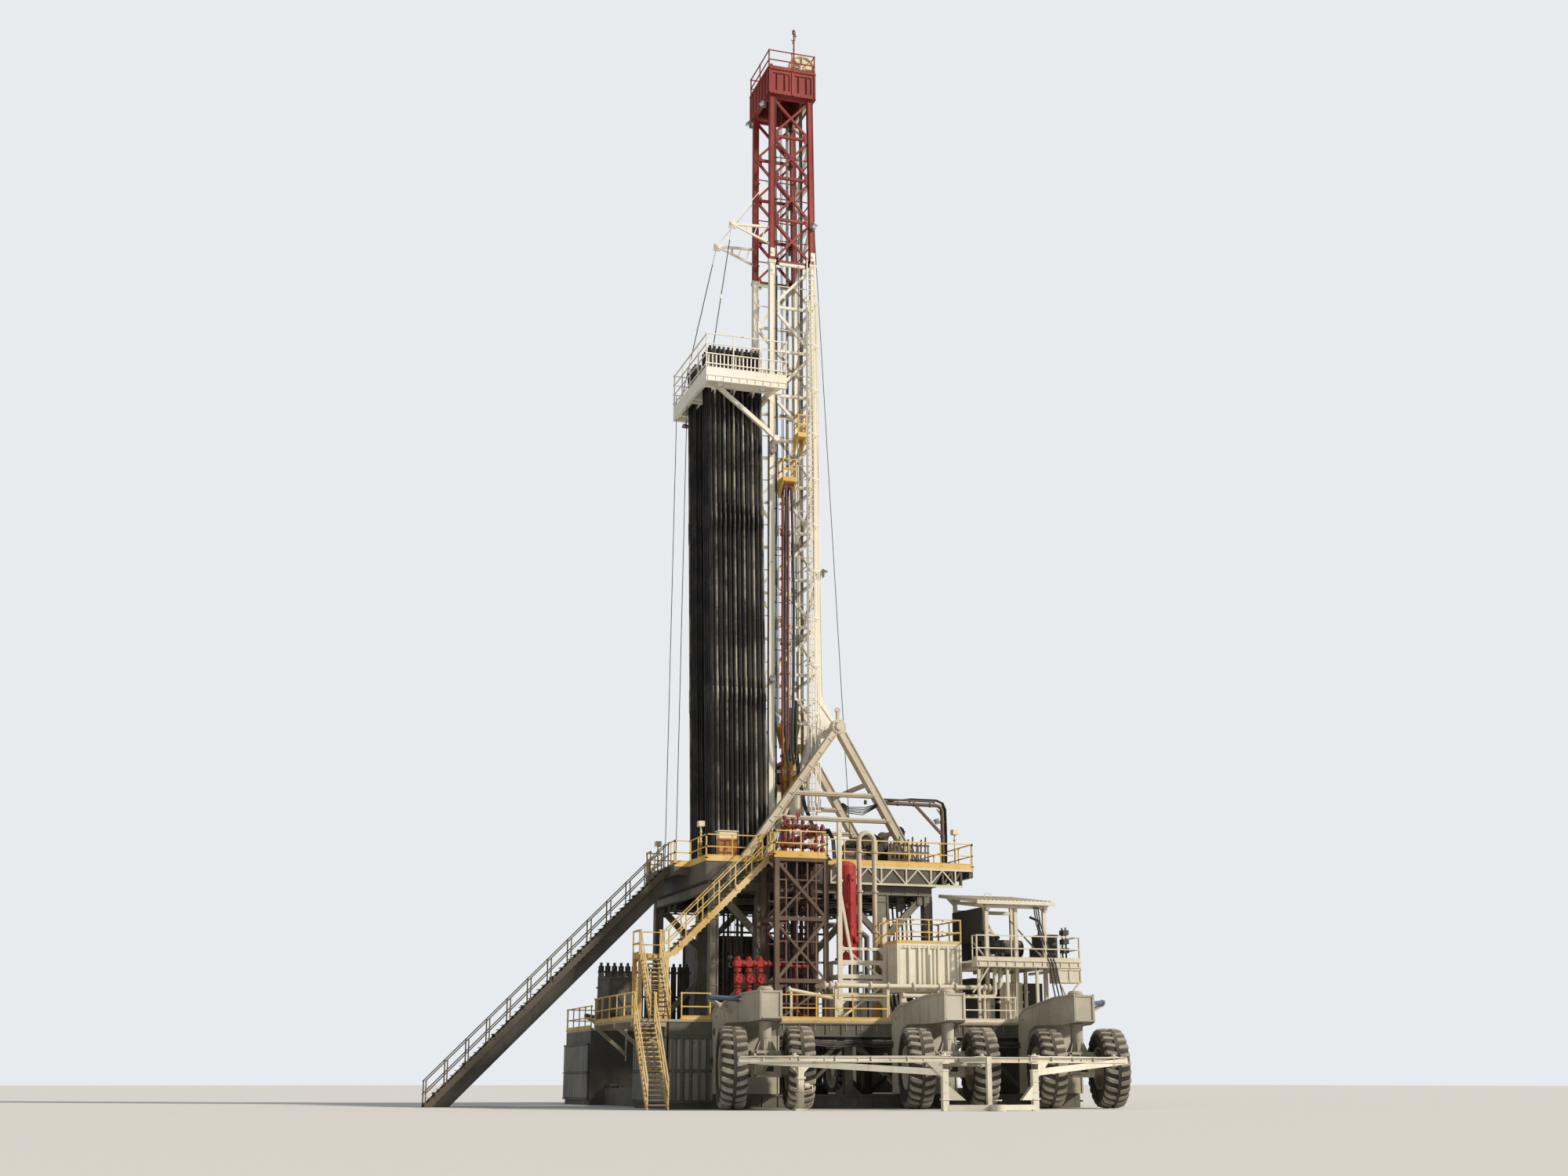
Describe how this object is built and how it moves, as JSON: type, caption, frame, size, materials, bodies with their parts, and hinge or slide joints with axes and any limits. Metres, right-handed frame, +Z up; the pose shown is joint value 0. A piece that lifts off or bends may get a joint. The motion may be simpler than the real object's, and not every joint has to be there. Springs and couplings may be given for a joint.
{
  "type": "half-scale model of a wheeled oil drilling rig",
  "caption": "Half-scale land drilling rig: lattice mast with hoist and racked pipe on a raised floor, over base frames carried by gooseneck arms on large tyres.",
  "frame": {"origin": "centre of the sole of the middle base beam, on the ground below the well centre", "axes": "+Z up along the mast, +X along the floor from the pipe ramp to the drawworks, -Y toward the tow frame"},
  "size_m": [14.0726, 17.1948, 28.05],
  "materials": {
    "base_frames": "weathered",
    "base_spreaders": "weathered",
    "lower_decks": "weathered",
    "lower_deck_rails": "weathered",
    "substructure_frames": "weathered",
    "substructure_cross_beams": "weathered",
    "drill_floor": "weathered",
    "floor_rails": "weathered",
    "mast_lower_sides": "weathered",
    "mast_upper_sides": "weathered",
    "mast_back_bracing": "weathered",
    "crown_block": "weathered",
    "crown_sheaves": "weathered",
    "crown_rails": "weathered",
    "mast_ladder": "weathered",
    "mast_platforms": "weathered",
    "standpipes": "weathered",
    "guide_rails": "weathered",
    "travelling_block": "weathered",
    "top_drive": "weathered",
    "drilling_lines": "weathered",
    "hoist_lines": "weathered",
    "a_frames": "weathered",
    "racking_board": "weathered",
    "racking_rails": "weathered",
    "board_struts": "weathered",
    "drill_pipe_stands": "weathered",
    "drawworks": "weathered",
    "floor_equipment": "weathered",
    "pipe_portal": "weathered",
    "manifold_tower": "weathered",
    "gas_separator": "weathered",
    "separator_frame": "weathered",
    "choke_manifold": "weathered",
    "flow_line": "weathered",
    "ribbed_tank": "weathered",
    "shelter_frame": "weathered",
    "shelter_deck": "weathered",
    "shelter_machinery": "weathered",
    "stair_treads": "weathered",
    "stair_sides": "weathered",
    "stair_landing": "weathered",
    "deck_cabinet": "weathered",
    "pipe_ramp": "weathered",
    "wheel_arms": "weathered",
    "steering_yokes": "weathered",
    "tow_frame": "weathered",
    "wheel_near_1_left": "weathered",
    "wheel_near_1_right": "weathered",
    "wheel_near_2_left": "weathered",
    "wheel_near_2_right": "weathered",
    "wheel_near_3_left": "weathered",
    "wheel_near_3_right": "weathered",
    "wheel_far_1_left": "weathered",
    "wheel_far_1_right": "weathered",
    "wheel_far_2_left": "weathered",
    "wheel_far_2_right": "weathered",
    "wheel_far_3_left": "weathered",
    "wheel_far_3_right": "weathered"
  },
  "bodies": {
    "rig": {"base_frames": "base_frames", "base_spreaders": "base_spreaders", "lower_decks": "lower_decks", "lower_deck_rails": "lower_deck_rails", "substructure_frames": "substructure_frames", "substructure_cross_beams": "substructure_cross_beams", "drill_floor": "drill_floor", "floor_rails": "floor_rails", "mast_lower_sides": "mast_lower_sides", "mast_upper_sides": "mast_upper_sides", "mast_back_bracing": "mast_back_bracing", "crown_block": "crown_block", "crown_sheaves": "crown_sheaves", "crown_rails": "crown_rails", "mast_ladder": "mast_ladder", "mast_platforms": "mast_platforms", "standpipes": "standpipes", "guide_rails": "guide_rails", "drilling_lines": "drilling_lines", "hoist_lines": "hoist_lines", "a_frames": "a_frames", "racking_board": "racking_board", "racking_rails": "racking_rails", "board_struts": "board_struts", "drill_pipe_stands": "drill_pipe_stands", "drawworks": "drawworks", "floor_equipment": "floor_equipment", "pipe_portal": "pipe_portal", "manifold_tower": "manifold_tower", "gas_separator": "gas_separator", "separator_frame": "separator_frame", "choke_manifold": "choke_manifold", "flow_line": "flow_line", "ribbed_tank": "ribbed_tank", "shelter_frame": "shelter_frame", "shelter_deck": "shelter_deck", "shelter_machinery": "shelter_machinery", "stair_treads": "stair_treads", "stair_sides": "stair_sides", "stair_landing": "stair_landing", "deck_cabinet": "deck_cabinet", "pipe_ramp": "pipe_ramp", "wheel_arms": "wheel_arms", "steering_yokes": "steering_yokes", "tow_frame": "tow_frame"},
    "hoist": {"travelling_block": "travelling_block", "top_drive": "top_drive"},
    "bogie_near_1_left_wheel": {"wheel_near_1_left": "wheel_near_1_left"},
    "bogie_near_1_right_wheel": {"wheel_near_1_right": "wheel_near_1_right"},
    "bogie_near_2_left_wheel": {"wheel_near_2_left": "wheel_near_2_left"},
    "bogie_near_2_right_wheel": {"wheel_near_2_right": "wheel_near_2_right"},
    "bogie_near_3_left_wheel": {"wheel_near_3_left": "wheel_near_3_left"},
    "bogie_near_3_right_wheel": {"wheel_near_3_right": "wheel_near_3_right"},
    "bogie_far_1_left_wheel": {"wheel_far_1_left": "wheel_far_1_left"},
    "bogie_far_1_right_wheel": {"wheel_far_1_right": "wheel_far_1_right"},
    "bogie_far_2_left_wheel": {"wheel_far_2_left": "wheel_far_2_left"},
    "bogie_far_2_right_wheel": {"wheel_far_2_right": "wheel_far_2_right"},
    "bogie_far_3_left_wheel": {"wheel_far_3_left": "wheel_far_3_left"},
    "bogie_far_3_right_wheel": {"wheel_far_3_right": "wheel_far_3_right"}
  },
  "joints": [
    {"name": "hoist_travel", "type": "slide", "parent": "rig", "child": "hoist", "axis": [0, 0, 1], "range_m": [-1.2, 15.5], "deforming": ["drilling_lines"]},
    {"name": "wheel_near_1_left_roll", "type": "hinge", "parent": "rig", "child": "bogie_near_1_left_wheel", "pos_m": [-3.3126, -6.4712, 0.825], "axis": [0.9816, -0.1908, 0], "continuous": true},
    {"name": "wheel_near_1_right_roll", "type": "hinge", "parent": "rig", "child": "bogie_near_1_right_wheel", "pos_m": [-1.9874, -6.7288, 0.825], "axis": [0.9816, -0.1908, 0], "continuous": true},
    {"name": "wheel_near_2_left_roll", "type": "hinge", "parent": "rig", "child": "bogie_near_2_left_wheel", "pos_m": [0.6874, -6.4712, 0.825], "axis": [0.9816, -0.1908, 0], "continuous": true},
    {"name": "wheel_near_2_right_roll", "type": "hinge", "parent": "rig", "child": "bogie_near_2_right_wheel", "pos_m": [2.0126, -6.7288, 0.825], "axis": [0.9816, -0.1908, 0], "continuous": true},
    {"name": "wheel_near_3_left_roll", "type": "hinge", "parent": "rig", "child": "bogie_near_3_left_wheel", "pos_m": [3.6624, -6.4712, 0.825], "axis": [0.9816, -0.1908, 0], "continuous": true},
    {"name": "wheel_near_3_right_roll", "type": "hinge", "parent": "rig", "child": "bogie_near_3_right_wheel", "pos_m": [4.9876, -6.7288, 0.825], "axis": [0.9816, -0.1908, 0], "continuous": true},
    {"name": "wheel_far_1_left_roll", "type": "hinge", "parent": "rig", "child": "bogie_far_1_left_wheel", "pos_m": [-3.325, 6.6, 0.825], "axis": [1, 0, 0], "continuous": true},
    {"name": "wheel_far_1_right_roll", "type": "hinge", "parent": "rig", "child": "bogie_far_1_right_wheel", "pos_m": [-1.975, 6.6, 0.825], "axis": [1, 0, 0], "continuous": true},
    {"name": "wheel_far_2_left_roll", "type": "hinge", "parent": "rig", "child": "bogie_far_2_left_wheel", "pos_m": [0.675, 6.6, 0.825], "axis": [1, 0, 0], "continuous": true},
    {"name": "wheel_far_2_right_roll", "type": "hinge", "parent": "rig", "child": "bogie_far_2_right_wheel", "pos_m": [2.025, 6.6, 0.825], "axis": [1, 0, 0], "continuous": true},
    {"name": "wheel_far_3_left_roll", "type": "hinge", "parent": "rig", "child": "bogie_far_3_left_wheel", "pos_m": [3.65, 6.6, 0.825], "axis": [1, 0, 0], "continuous": true},
    {"name": "wheel_far_3_right_roll", "type": "hinge", "parent": "rig", "child": "bogie_far_3_right_wheel", "pos_m": [5, 6.6, 0.825], "axis": [1, 0, 0], "continuous": true}
  ]
}
